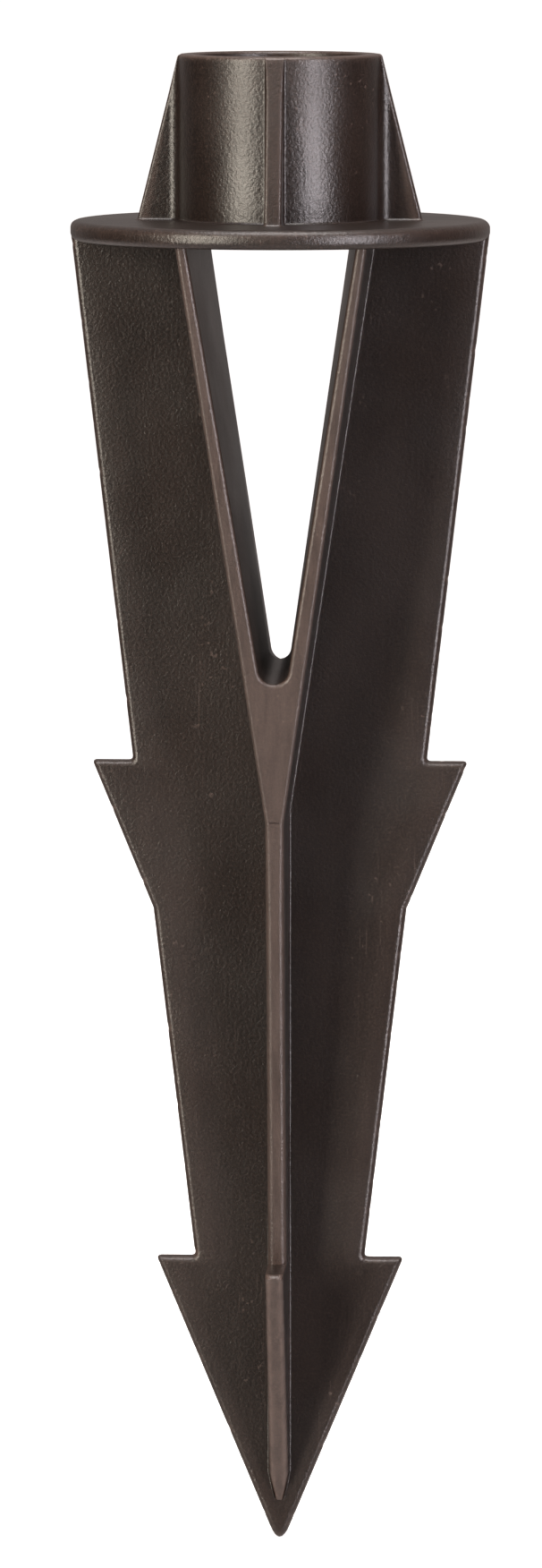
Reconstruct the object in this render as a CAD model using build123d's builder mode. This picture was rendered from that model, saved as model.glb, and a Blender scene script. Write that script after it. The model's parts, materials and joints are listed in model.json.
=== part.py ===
from build123d import *
import math
import os

# Ground stake for a garden torch pole: one rigid plastic moulding, written out feature by feature.
# The origin is the centre of the pole socket's floor. +Z points up the pole, +X right and -Y to the front.
# The wide blade lies in the XZ plane, and the narrower keels stand in the YZ plane.

# ---- driving dimensions, millimetres ----
# socket
BORE_RADIUS = 14.3
SOCKET_RADIUS = 17.1
SOCKET_HEIGHT = 27.9
RIM_ROUND = 0.5
FOOT_COVE = 0.8

# gussets that prop the socket on the flange
GUSSET_THICKNESS = 2.9
GUSSET_FOOT_REACH = 24.1
SIDE_GUSSET_COVE = 2.0
FRONT_GUSSET_COVE = 0.5
GUSSET_EDGE_ROUND = 0.5

# soil flange
FLANGE_RADIUS = 35.4
FLANGE_THICKNESS = 3.3
FLANGE_ROUND = 1.3

# heights of the stake's stations, below the socket floor
FIN_TOP_Z = -FLANGE_THICKNESS
UPPER_BARB_Z = -91.9
NOTCH_Z = -117.2
LOWER_BARB_Z = -177.3
TIP_SPLIT_Z = -212.0

# half widths of the wide blade at those stations
BLADE_THICKNESS = 3.4
BLADE_TOP_HALF = 35.2
UPPER_WAIST_HALF = 24.9
UPPER_BARB_HALF = 31.9
NOTCH_HALF = 21.5
LOWER_WAIST_HALF = 14.4
LOWER_BARB_HALF = 21.1
POINT_Z = -228.0
BLADE_EDGE_ROUND = 1.0
TIP_ROUND = 1.2

# depths of the front and rear keels
KEEL_TOP_DEPTH = 29.4
KEEL_WAIST_DEPTH = 9.0
KEEL_BARB_DEPTH = 19.2
KEEL_EDGE_HALF = 1.5
KEEL_ROOT_HALF = 1.65
KEEL_COVE = 0.4
KEEL_EDGE_ROUND = 0.7
BARB_EDGE_ROUND = 0.35

# fork: its outer faces close from the flange down to the keel
FORK_TOP_HALF = 15.9
FORK_SLOPE = 0.148

# window between the fork's walls: narrowest on the parting plane, and wider towards the front and the rear
WINDOW_SLOPE_MID = 0.1439
WINDOW_APEX_MID = -85.9
WINDOW_RADIUS_MID = 1.9
WINDOW_SLOPE_OUT = 0.1566
WINDOW_APEX_OUT = -93.7
WINDOW_RADIUS_OUT = 2.9
WINDOW_OUT_DEPTH = 30.0
WEB_SPLIT_Z = -72.0

# used to cut and to choose edges: a length past the moulding, a step past a face, how near counts as on it
BEYOND = 60.0
PAST_FACE = 1.0
ON_FACE = 0.01

# ---- worked-out values ----
HALF_BLADE = BLADE_THICKNESS / 2
HALF_GUSSET = GUSSET_THICKNESS / 2
TIP_SLOPE = LOWER_BARB_HALF / (LOWER_BARB_Z - POINT_Z)
FLAT_POINT_Z = POINT_Z + BLADE_EDGE_ROUND * math.hypot(1, TIP_SLOPE) / TIP_SLOPE
KEEL_POINT_Z = LOWER_BARB_Z - KEEL_BARB_DEPTH / TIP_SLOPE
FORK_END_Z = FIN_TOP_Z - (FORK_TOP_HALF - KEEL_EDGE_HALF) / FORK_SLOPE
COVE_HALF = KEEL_ROOT_HALF + KEEL_COVE
FORK_FLARE = COVE_HALF - KEEL_EDGE_HALF

os.makedirs("parts", exist_ok=True)


def save(part, label):
    """Names a finished piece and writes it."""
    part.label = label
    export_step(part, f"parts/{label}.step")


def keel_depth(z):
    """Depth of a keel's edge above the lower barb, on a straight line from the flange to the barb."""
    share = (z - LOWER_BARB_Z) / (FIN_TOP_Z - LOWER_BARB_Z)
    return KEEL_WAIST_DEPTH + share * (KEEL_TOP_DEPTH - KEEL_WAIST_DEPTH)


def block(bottom, top, low_x=-BEYOND, high_x=BEYOND, low_y=-BEYOND, high_y=BEYOND):
    """A block between two heights, used to cut the moulding into its features."""
    centre = ((low_x + high_x) / 2, (low_y + high_y) / 2, (bottom + top) / 2)
    return Pos(*centre) * Box(high_x - low_x, high_y - low_y, top - bottom)


# ---- top: flange, socket tube and its four gussets ----
with BuildPart() as soil_flange:
    with BuildSketch(Plane.XY.offset(-FLANGE_THICKNESS)):
        Circle(FLANGE_RADIUS)
    extrude(amount=FLANGE_THICKNESS)
    fillet(soil_flange.edges(), radius=FLANGE_ROUND)
save(soil_flange.part, "soil_flange")


def flare_angle(cove):
    """Angle round the tube from a gusset's middle to where its cove touches the tube."""
    return math.degrees(math.asin((HALF_GUSSET + cove) / (SOCKET_RADIUS + cove)))


def seat_distance(cove):
    """Distance from the axis to the flat where a gusset's root takes over from the tube."""
    return SOCKET_RADIUS * math.cos(math.radians(flare_angle(cove)))


def seat_half(cove):
    """Half width of a gusset's root on that flat."""
    return SOCKET_RADIUS * math.sin(math.radians(flare_angle(cove)))


# name of each gusset, its angle round the tube and the cove at its root
gussets = {
    "right": (0, SIDE_GUSSET_COVE),
    "rear": (90, FRONT_GUSSET_COVE),
    "left": (180, SIDE_GUSSET_COVE),
    "front": (270, FRONT_GUSSET_COVE),
}

with BuildPart() as pole_socket:
    with BuildSketch(Plane.XZ):
        with BuildLine():
            Polyline(
                (SOCKET_RADIUS, FOOT_COVE),
                (SOCKET_RADIUS, SOCKET_HEIGHT),
                (BORE_RADIUS, SOCKET_HEIGHT),
                (BORE_RADIUS, 0),
                (SOCKET_RADIUS + FOOT_COVE, 0),
            )
            CenterArc((SOCKET_RADIUS + FOOT_COVE, FOOT_COVE), FOOT_COVE, 180, 90)
        make_face()
    revolve(axis=Axis.Z)
    fillet(pole_socket.edges().group_by(Axis.Z)[-1], radius=RIM_ROUND)
    # a flat at each gusset, where the gusset's flared root takes over from the tube
    with BuildSketch():
        for turn, cove in gussets.values():
            with PolarLocations(seat_distance(cove), 1, start_angle=turn):
                flat_width = 2 * (seat_half(cove) + FOOT_COVE)
                Rectangle(SOCKET_RADIUS, flat_width, align=(Align.MIN, Align.CENTER))
    extrude(amount=SOCKET_HEIGHT, mode=Mode.SUBTRACT)
save(pole_socket.part, "pole_socket")


def make_gusset(cove):
    """The gusset that points along +X, flared onto the tube by arcs that touch its sides and the tube."""
    seat_x = seat_distance(cove)
    touch = flare_angle(cove)
    flare_x = (SOCKET_RADIUS + cove) * math.cos(math.radians(touch))
    with BuildPart() as gusset:
        with BuildSketch():
            with BuildLine():
                Line((seat_x, 0), (seat_x, seat_half(cove)))
                CenterArc((flare_x, HALF_GUSSET + cove), cove, 180 + touch, 90 - touch)
                Polyline((flare_x, HALF_GUSSET), (GUSSET_FOOT_REACH, HALF_GUSSET), (GUSSET_FOOT_REACH, 0))
                mirror(about=Plane.XZ)
            make_face()
        extrude(amount=SOCKET_HEIGHT)
        with BuildSketch(Plane.XZ):
            with BuildLine():
                Polyline(
                    (GUSSET_FOOT_REACH, 0),
                    (SOCKET_RADIUS, SOCKET_HEIGHT),
                    (GUSSET_FOOT_REACH, SOCKET_HEIGHT),
                    close=True,
                )
            make_face()
        extrude(amount=SOCKET_RADIUS, both=True, mode=Mode.SUBTRACT)
        sloped = gusset.faces().filter_by(GeomType.PLANE).sort_by(Axis.X)[-1]
        fillet(sloped.edges().filter_by(Plane.XZ), radius=GUSSET_EDGE_ROUND)
        # small coves along the two long sides of the foot
        with BuildSketch(Plane.YZ.offset(seat_x)):
            with BuildLine():
                Polyline((0, 0), (0, FOOT_COVE), (HALF_GUSSET, FOOT_COVE))
                CenterArc((HALF_GUSSET + FOOT_COVE, FOOT_COVE), FOOT_COVE, 180, 90)
                Line((HALF_GUSSET + FOOT_COVE, 0), (0, 0))
            make_face()
            mirror(about=Plane.YZ)
        extrude(amount=GUSSET_FOOT_REACH - seat_x - 2 * FOOT_COVE)
    return gusset.part


for name, (turn, cove) in gussets.items():
    save(make_gusset(cove).rotate(Axis.Z, turn), f"socket_gusset_{name}")

# ---- wide blade: one plate with two pairs of barbs and a blunt point, cut into its features further on ----
with BuildPart() as blade:
    with BuildSketch(Plane.XZ) as blade_outline:
        with BuildLine():
            Polyline(
                (0, FIN_TOP_Z),
                (BLADE_TOP_HALF, FIN_TOP_Z),
                (UPPER_WAIST_HALF, UPPER_BARB_Z),
                (UPPER_BARB_HALF, UPPER_BARB_Z),
                (NOTCH_HALF, NOTCH_Z),
                (LOWER_WAIST_HALF, LOWER_BARB_Z),
                (LOWER_BARB_HALF, LOWER_BARB_Z),
                (0, POINT_Z),
            )
            mirror(about=Plane.YZ)
        make_face()
        fillet(blade_outline.vertices().sort_by(Axis.Y)[0], radius=TIP_ROUND)
    extrude(amount=HALF_BLADE, both=True)
    rounded = blade.edges().filter_by(Plane.XZ).filter_by(lambda edge: edge.center().Z < FIN_TOP_Z - ON_FACE)
    fillet(rounded, radius=BLADE_EDGE_ROUND)

# ---- keels and the fork's walls ----
# one horizontal section serves the whole length: a thin edge, a thicker root and a cove onto the blade
edge_y = KEEL_TOP_DEPTH + PAST_FACE
cove_y = HALF_BLADE + KEEL_COVE
with BuildSketch() as left_section:
    with BuildLine():
        Polyline((0, 0), (0, -edge_y), (-KEEL_EDGE_HALF, -edge_y), (-KEEL_ROOT_HALF, -cove_y))
        RadiusArc((-KEEL_ROOT_HALF, -cove_y), (-COVE_HALF, -HALF_BLADE), KEEL_COVE)
        Polyline((-COVE_HALF, -HALF_BLADE), (-COVE_HALF, 0), (0, 0))
    make_face()
    mirror(about=Plane.XZ)

# the left wall carries the same section up a slope, solid from its outer face to the middle of the stake
with BuildPart() as left_wall:
    with BuildSketch(Plane.XY.offset(FORK_END_Z)):
        add(left_section.sketch)
        Rectangle(FORK_TOP_HALF, 2 * edge_y, align=(Align.MIN, Align.CENTER))
    rise = FIN_TOP_Z - FORK_END_Z
    extrude(amount=rise * math.hypot(1, FORK_SLOPE), dir=(-FORK_SLOPE, 0, 1))
    split(bisect_by=Plane.YZ, keep=Keep.BOTTOM)


def window_outline(apex_z, slope, radius):
    """Outline of the V-shaped window: two straight sides on one apex and a round bottom that touches them."""
    lean = math.atan(slope)
    centre_z = apex_z + radius / math.sin(lean)
    touch_x = radius * math.cos(lean)
    touch_z = centre_z - radius * math.sin(lean)
    top_x = (PAST_FACE - apex_z) * slope
    with BuildLine() as outline:
        Polyline((touch_x, touch_z), (top_x, PAST_FACE), (-top_x, PAST_FACE), (-touch_x, touch_z))
        CenterArc((0, centre_z), radius, -math.degrees(lean), 2 * math.degrees(lean) - 180)
    return outline.line


with BuildPart() as window:
    with BuildSketch(Plane.XZ):
        add(window_outline(WINDOW_APEX_MID, WINDOW_SLOPE_MID, WINDOW_RADIUS_MID))
        make_face()
    with BuildSketch(Plane.XZ.offset(WINDOW_OUT_DEPTH)):
        add(window_outline(WINDOW_APEX_OUT, WINDOW_SLOPE_OUT, WINDOW_RADIUS_OUT))
        make_face()
    loft(ruled=True)
    mirror(about=Plane.XZ)

with BuildPart() as keels:
    add(left_wall.part)
    with BuildSketch(Plane.XY.offset(FORK_END_Z)):
        add(left_section.sketch)
    extrude(amount=POINT_Z - FORK_END_Z)
    mirror(about=Plane.YZ)
    with BuildSketch(Plane.YZ):
        with BuildLine():
            Polyline(
                (0, FIN_TOP_Z),
                (KEEL_TOP_DEPTH, FIN_TOP_Z),
                (KEEL_WAIST_DEPTH, LOWER_BARB_Z),
                (KEEL_BARB_DEPTH, LOWER_BARB_Z),
                (0, KEEL_POINT_Z),
            )
            mirror(about=Plane.YZ)
        make_face()
    extrude(amount=FORK_TOP_HALF + COVE_HALF, both=True, mode=Mode.INTERSECT)
    add(window.part, mode=Mode.SUBTRACT)


def on_keel_edge(edge):
    """True for an edge of the front or rear faces, which lie at the keel's depth."""
    centre = edge.center()
    in_height = LOWER_BARB_Z + PAST_FACE < centre.Z < FIN_TOP_Z - PAST_FACE
    return in_height and abs(abs(centre.Y) - keel_depth(centre.Z)) < ON_FACE


with BuildPart() as upper_keels:
    add(keels.part)
    split(bisect_by=Plane.XY.offset(LOWER_BARB_Z), keep=Keep.TOP)
    fillet(upper_keels.edges().filter_by(on_keel_edge), radius=KEEL_EDGE_ROUND)


def on_barb_edge(edge):
    """True for the long edges of the faces that slope from a keel's barb to the point, and for its tip."""
    centre = edge.center()
    depth = abs(centre.Y)
    slope_depth = KEEL_BARB_DEPTH * (centre.Z - KEEL_POINT_Z) / (LOWER_BARB_Z - KEEL_POINT_Z)
    on_slope = abs(depth - slope_depth) < ON_FACE and edge.length > KEEL_BARB_DEPTH
    return on_slope or abs(depth - KEEL_BARB_DEPTH) < ON_FACE


with BuildPart() as lower_keels:
    add(keels.part)
    split(bisect_by=Plane.XY.offset(LOWER_BARB_Z), keep=Keep.BOTTOM)
    fillet(lower_keels.edges().filter_by(on_barb_edge), radius=BARB_EDGE_ROUND)

# ---- the moulding's features, each cut to its own stretch ----
keel_cells = {
    "fork_wall_left": (upper_keels, block(WEB_SPLIT_Z, FIN_TOP_Z, high_x=0)),
    "fork_wall_right": (upper_keels, block(WEB_SPLIT_Z, FIN_TOP_Z, low_x=0)),
    "fork_web": (upper_keels, block(FORK_END_Z, WEB_SPLIT_Z)),
    "front_keel": (upper_keels, block(LOWER_BARB_Z, FORK_END_Z, high_y=0)),
    "rear_keel": (upper_keels, block(LOWER_BARB_Z, FORK_END_Z, low_y=0)),
    "front_barb": (lower_keels, block(TIP_SPLIT_Z, LOWER_BARB_Z, high_y=0)),
    "rear_barb": (lower_keels, block(TIP_SPLIT_Z, LOWER_BARB_Z, low_y=0)),
}
for name, (source, cell) in keel_cells.items():
    with BuildPart() as feature:
        add(source.part)
        add(cell, mode=Mode.INTERSECT)
    save(feature.part, name)

# the blade's features stand outside the fork and the keel's root
with BuildPart() as fins:
    add(blade.part)
    with BuildSketch(Plane.XZ):
        with BuildLine():
            Polyline(
                (0, FIN_TOP_Z),
                (FORK_TOP_HALF + FORK_FLARE, FIN_TOP_Z),
                (COVE_HALF, FORK_END_Z),
                (COVE_HALF, TIP_SPLIT_Z),
                (0, TIP_SPLIT_Z),
            )
            mirror(about=Plane.YZ)
        make_face()
    extrude(amount=BLADE_THICKNESS, both=True, mode=Mode.SUBTRACT)

fin_levels = {
    "upper_fin": (UPPER_BARB_Z, FIN_TOP_Z),
    "upper_barb": (NOTCH_Z, UPPER_BARB_Z),
    "middle_fin": (LOWER_BARB_Z, NOTCH_Z),
    "lower_barb": (TIP_SPLIT_Z, LOWER_BARB_Z),
}
for name, (bottom, top) in fin_levels.items():
    for side, cell in (("left", block(bottom, top, high_x=0)), ("right", block(bottom, top, low_x=0))):
        with BuildPart() as feature:
            add(fins.part)
            add(cell, mode=Mode.INTERSECT)
        save(feature.part, f"{name}_{side}")

# near the point the keels stay on the blade's flat faces, inside its rounded edges
with BuildPart() as tip_keels:
    add(lower_keels.part)
    with BuildSketch(Plane.XZ):
        with BuildLine():
            Polyline(
                (0, TIP_SPLIT_Z),
                ((TIP_SPLIT_Z - FLAT_POINT_Z) * TIP_SLOPE, TIP_SPLIT_Z),
                (0, FLAT_POINT_Z),
            )
            mirror(about=Plane.YZ)
        make_face()
    extrude(amount=KEEL_BARB_DEPTH, both=True, mode=Mode.INTERSECT)

with BuildPart() as stake_tip:
    add(blade.part)
    split(bisect_by=Plane.XY.offset(TIP_SPLIT_Z), keep=Keep.BOTTOM)
    add(tip_keels.part)
save(stake_tip.part, "stake_tip")
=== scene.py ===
"""Looks for a garden torch's ground stake, laid out as a Blender add-on.

The stake is one dark brown plastic moulding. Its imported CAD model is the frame: every piece made here is in
metres in that frame and takes its place from the CAD nodes. +Z points up the pole, +X to the right and -Y to
the front, with the origin at the centre of the pole socket's floor.
"""

import json
import math

import bmesh
import bpy
import numpy as np
from bpy.props import FloatProperty, FloatVectorProperty, PointerProperty
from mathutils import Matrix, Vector


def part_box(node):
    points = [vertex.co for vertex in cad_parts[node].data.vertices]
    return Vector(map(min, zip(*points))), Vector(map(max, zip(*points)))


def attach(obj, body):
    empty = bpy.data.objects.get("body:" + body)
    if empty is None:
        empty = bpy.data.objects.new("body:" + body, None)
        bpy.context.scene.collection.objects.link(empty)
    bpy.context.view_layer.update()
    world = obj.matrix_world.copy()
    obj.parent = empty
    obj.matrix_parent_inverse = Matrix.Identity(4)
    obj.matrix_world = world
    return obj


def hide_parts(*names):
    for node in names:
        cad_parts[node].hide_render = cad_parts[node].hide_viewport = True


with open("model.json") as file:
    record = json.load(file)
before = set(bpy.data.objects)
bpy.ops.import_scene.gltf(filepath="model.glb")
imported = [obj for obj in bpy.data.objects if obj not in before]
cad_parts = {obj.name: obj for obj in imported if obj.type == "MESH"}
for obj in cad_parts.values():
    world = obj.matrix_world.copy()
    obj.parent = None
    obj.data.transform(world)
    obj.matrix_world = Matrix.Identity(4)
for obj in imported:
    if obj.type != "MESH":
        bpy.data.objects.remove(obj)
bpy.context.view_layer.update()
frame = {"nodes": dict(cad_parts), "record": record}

bl_info = {
    "name": "Ground Stake Looks",
    "version": (1, 0, 0),
    "blender": (4, 5, 0),
    "location": "3D Viewport > Sidebar > Stake",
    "description": "Makes the plastic, the moulded pieces and the studio of a torch pole's ground stake",
    "category": "Object",
}

MM = 0.001
BODY = "root"
NODES = frame["nodes"]
WORN_SKIN = "brown_plastic_worn"
CLEAN_SKIN = "brown_plastic_skin"
# The rub attribute holds the pieces' rubbed edges, and on the keels also a painted sheen on the barb's front
# face.
RUB_AND_SHEEN = "rub"

# mesh making: merging distance, crease angle, spacing of columns, and how far a piece is tucked into the next
WELD = 0.001 * MM
SHARP_DEGREES = 42.0
BLADE_STEP = 0.7 * MM
CORNER_POINTS = 9
FLANGE_COLUMNS = 512
TUCK = 1.3 * MM

# how far the socket is tucked into the flange
SOCKET_TUCK = 0.5 * MM

# sizes of the moulding that the boxes don't give: radii, the keels' tapering end, the width of the parting
# ridge and the height of the flange's uneven edge
KEEL_COVE = 0.4 * MM
FLANGE_EDGE = 1.3 * MM
KEEL_RUN_OUT = 9 * MM
RIDGE_WIDTH = 0.22 * MM
FLANGE_UNEVEN = 0.045 * MM

# share of scuff colour: painted sheen on the front faces tilted to the floor's light, the scratches and the
# specks
PAINTED_FRONT_SHEEN = 0.24
SCRATCH_SHARE = 0.30
SPECK_SHARE = 0.25

# seeds of the random curves
BLADE_DENT_SEED = 11
BLADE_RIDGE_SEED = 5
KEEL_DENT_SEED = 23
FLANGE_OUT_SEED = 3
FLANGE_UP_SEED = 8

# radius of the pole's bore, from the record's mount
BORE_RADIUS = next(m["dims"]["r_mm"] for m in frame["record"]["mounts"] if m["name"] == "pole_socket") * MM

# heights and radii that several pieces share, read from the CAD nodes
TIP_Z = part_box("stake_tip")[0].z
RIM_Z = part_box("pole_socket")[1].z
FLANGE_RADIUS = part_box("soil_flange")[1].x


# ---- sizes and colours a user would change ----
class StakePlastic(bpy.types.PropertyGroup):
    """Finish of the moulded plastic."""

    deep_colour: FloatVectorProperty(
        name="Deep colour", description="Colour of the sheltered faces", subtype="COLOR",
        size=3, min=0, max=1, default=(0.0040, 0.0021, 0.0015),
    )
    warm_colour: FloatVectorProperty(
        name="Warm colour", description="Colour of the paler clouds in the plastic", subtype="COLOR",
        size=3, min=0, max=1, default=(0.0215, 0.0125, 0.0094),
    )
    # The scuff colour also paints a sheen on the front faces of the fork and keels, where they tilt down to
    # the floor's light.
    scuff_and_sheen_colour: FloatVectorProperty(
        name="Scuff colour", description="Colour of rubbed edges and fine scuffs", subtype="COLOR",
        size=3, min=0, max=1, default=(0.125, 0.083, 0.068),
    )
    roughness: FloatProperty(
        name="Roughness", description="Mean roughness of the moulded skin",
        subtype="FACTOR", min=0, max=1, default=0.36,
    )
    grain_size: FloatProperty(
        name="Grain size", description="Width of one pebble of the fine moulded grain",
        unit="LENGTH", subtype="DISTANCE", min=0.0001, default=0.55 * MM,
    )
    grain_depth: FloatProperty(
        name="Grain depth", description="Height of the grain", unit="LENGTH", subtype="DISTANCE",
        min=0, default=0.09 * MM,
    )


class StakeShape(bpy.types.PropertyGroup):
    """Sizes of the moulding that the CAD nodes' boxes don't give, and of its fine details."""

    upper_waist: FloatProperty(
        name="Upper waist", description="Half width of the blade just above the upper barbs", unit="LENGTH",
        subtype="DISTANCE", default=24.9 * MM,
    )
    lower_waist: FloatProperty(
        name="Lower waist", description="Half width of the blade just above the lower barbs", unit="LENGTH",
        subtype="DISTANCE", default=14.4 * MM,
    )
    edge_round: FloatProperty(
        name="Edge round", description="Radius along the blade's edges", unit="LENGTH", subtype="DISTANCE",
        default=1.0 * MM,
    )
    corner_round: FloatProperty(
        name="Corner round", description="Radius of the barbs' corners, seen from the front", unit="LENGTH",
        subtype="DISTANCE", default=0.55 * MM,
    )
    tip_round: FloatProperty(
        name="Tip round", description="Radius of the worn point, seen from the front", unit="LENGTH",
        subtype="DISTANCE", default=1.75 * MM,
    )
    parting_ridge: FloatProperty(
        name="Parting ridge", description="Height of the thin ridge where the mould's halves met",
        unit="LENGTH", subtype="DISTANCE", default=0.10 * MM,
    )
    dents: FloatProperty(
        name="Dents", description="Depth of the small dents along worn edges", unit="LENGTH",
        subtype="DISTANCE", default=0.09 * MM,
    )
    keel_waist: FloatProperty(
        name="Keel waist", description="Depth of a keel's edge just above its barb", unit="LENGTH",
        subtype="DISTANCE", default=9.0 * MM,
    )
    keel_barb: FloatProperty(
        name="Keel barb", description="Depth of a keel's barb", unit="LENGTH", subtype="DISTANCE",
        default=19.2 * MM,
    )
    keel_edge_half: FloatProperty(
        name="Keel edge half width", description="Half width of a keel at its front face", unit="LENGTH",
        subtype="DISTANCE", default=1.5 * MM,
    )
    keel_root_half: FloatProperty(
        name="Keel root half width", description="Half width of a keel above its cove", unit="LENGTH",
        subtype="DISTANCE", default=1.65 * MM,
    )
    keel_round: FloatProperty(
        name="Keel round", description="Radius along a keel's front edges, under the fork", unit="LENGTH",
        subtype="DISTANCE", default=0.7 * MM,
    )
    keel_worn_round: FloatProperty(
        name="Worn keel round", description="Radius along a keel's front edges, lower down", unit="LENGTH",
        subtype="DISTANCE", default=1.05 * MM,
    )
    socket_radius: FloatProperty(
        name="Socket radius", description="Outer radius of the socket's tube", unit="LENGTH",
        subtype="DISTANCE", default=17.1 * MM,
    )
    gusset_half: FloatProperty(
        name="Gusset half thickness", description="Half thickness of a gusset", unit="LENGTH",
        subtype="DISTANCE", default=1.45 * MM,
    )
    side_cove: FloatProperty(
        name="Side gusset cove", description="Radius between the tube and the left and right gussets",
        unit="LENGTH", subtype="DISTANCE", default=2.0 * MM,
    )
    front_cove: FloatProperty(
        name="Front gusset cove", description="Radius between the tube and the front and rear gussets",
        unit="LENGTH", subtype="DISTANCE", default=0.5 * MM,
    )
    foot_cove: FloatProperty(
        name="Foot cove", description="Radius where the socket and its gussets meet the flange",
        unit="LENGTH", subtype="DISTANCE", default=0.45 * MM,
    )
    rim_round: FloatProperty(
        name="Rim round", description="Radius of the socket's rim", unit="LENGTH", subtype="DISTANCE",
        default=0.55 * MM,
    )


class StakeStudio(bpy.types.PropertyGroup):
    """Light, floor and camera."""

    floor_colour: FloatVectorProperty(
        name="Floor colour", description="Colour of the plain floor", subtype="COLOR",
        size=3, min=0, max=1, default=(0.86, 0.86, 0.855),
    )
    floor_reach: FloatProperty(
        name="Floor reach", description="Half the length of the floor's side", unit="LENGTH",
        subtype="DISTANCE", min=1, default=30.0,
    )
    camera_reach: FloatProperty(
        name="Camera reach", description="Level distance from the pole's axis to the camera", unit="LENGTH",
        subtype="DISTANCE", min=0.3, default=1.4464,
    )
    camera_rise: FloatProperty(
        name="Camera rise", description="Height of the camera above the socket's rim", unit="LENGTH",
        subtype="DISTANCE", default=0.0467,
    )
    camera_turn: FloatProperty(
        name="Camera turn", description="Angle of the camera round the pole, to the right of the front",
        subtype="ANGLE", default=math.radians(3.0),
    )
    camera_pitch: FloatProperty(
        name="Camera pitch", description="Angle that the camera looks down", subtype="ANGLE",
        default=math.radians(6.724),
    )
    camera_swing: FloatProperty(
        name="Camera swing", description="Angle that the camera is turned off the pole's axis",
        subtype="ANGLE", default=math.radians(0.06),
    )
    lens: FloatProperty(
        name="Lens", description="Focal length on a 24 mm high sensor", subtype="DISTANCE_CAMERA",
        unit="CAMERA", min=10, default=131.04,
    )


# ---- shader building blocks ----
def new_group(name, inputs, outputs):
    """An empty shader node group with float, colour or vector sockets, and its two end nodes."""
    group = bpy.data.node_groups.new(name, "ShaderNodeTree")
    for kind, direction in ((inputs, "INPUT"), (outputs, "OUTPUT")):
        for label, socket_type, default in kind:
            socket = group.interface.new_socket(label, in_out=direction, socket_type=socket_type)
            if default is not None:
                socket.default_value = default
    return group, group.nodes.new("NodeGroupInput"), group.nodes.new("NodeGroupOutput")


def node(tree, kind, **settings):
    """A new node with its properties set."""
    made = tree.nodes.new(kind)
    for key, value in settings.items():
        setattr(made, key, value)
    return made


def noise(tree, vector, scale, detail=2.0, rough=0.5):
    """Noise texture's value at a vector; returns its output socket."""
    made = node(tree, "ShaderNodeTexNoise")
    made.inputs["Scale"].default_value = scale
    made.inputs["Detail"].default_value = detail
    made.inputs["Roughness"].default_value = rough
    tree.links.new(vector, made.inputs["Vector"])
    return made.outputs[0]


def stretch(tree, vector, scale):
    """A vector scaled axis by axis."""
    made = node(tree, "ShaderNodeMapping")
    made.inputs["Scale"].default_value = scale
    tree.links.new(vector, made.inputs["Vector"])
    return made.outputs[0]


def math_node(tree, operation, *values, clamp=False):
    """Maths on sockets or numbers; returns the result's socket."""
    made = node(tree, "ShaderNodeMath", operation=operation, use_clamp=clamp)
    for index, value in enumerate(values):
        if isinstance(value, (int, float)):
            made.inputs[index].default_value = value
        else:
            tree.links.new(value, made.inputs[index])
    return made.outputs[0]


def ramp(tree, value, low, high, out_low=0.0, out_high=1.0):
    """Smooth step of a value from low to high, mapped to out_low and out_high."""
    made = node(tree, "ShaderNodeMapRange", interpolation_type="SMOOTHSTEP")
    for index, number in ((1, low), (2, high), (3, out_low), (4, out_high)):
        made.inputs[index].default_value = number
    tree.links.new(value, made.inputs[0])
    return made.outputs[0]


def mix_colour(tree, share, first, second):
    """Mix of two colours by a share; returns the colour socket."""
    made = node(tree, "ShaderNodeMix", data_type="RGBA")
    tree.links.new(share, made.inputs[0])
    for index, value in ((6, first), (7, second)):
        if isinstance(value, (tuple, list)):
            made.inputs[index].default_value = value
        else:
            tree.links.new(value, made.inputs[index])
    return made.outputs[2]


def grain_group():
    """Node group for the moulded skin: a height of fine pebbles on slow swells, and a patchy gloss mask."""
    group, start, end = new_group(
        "moulded_grain",
        [("Vector", "NodeSocketVector", None), ("Pebble size", "NodeSocketFloat", 0.5 * MM)],
        [("Height", "NodeSocketFloat", None), ("Gloss patches", "NodeSocketFloat", None)],
    )
    scaled = node(group, "ShaderNodeVectorMath", operation="DIVIDE")
    group.links.new(start.outputs["Vector"], scaled.inputs[0])
    group.links.new(start.outputs["Pebble size"], scaled.inputs[1])
    fine = noise(group, scaled.outputs[0], 1.0, detail=3.0, rough=0.6)
    swell = noise(group, scaled.outputs[0], 0.055, detail=1.0)
    height = math_node(group, "MULTIPLY_ADD", swell, 1.6, fine)
    group.links.new(height, end.inputs["Height"])
    patches = noise(group, scaled.outputs[0], 0.02, detail=3.0)
    group.links.new(ramp(group, patches, 0.35, 0.68), end.inputs["Gloss patches"])
    return group


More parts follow.
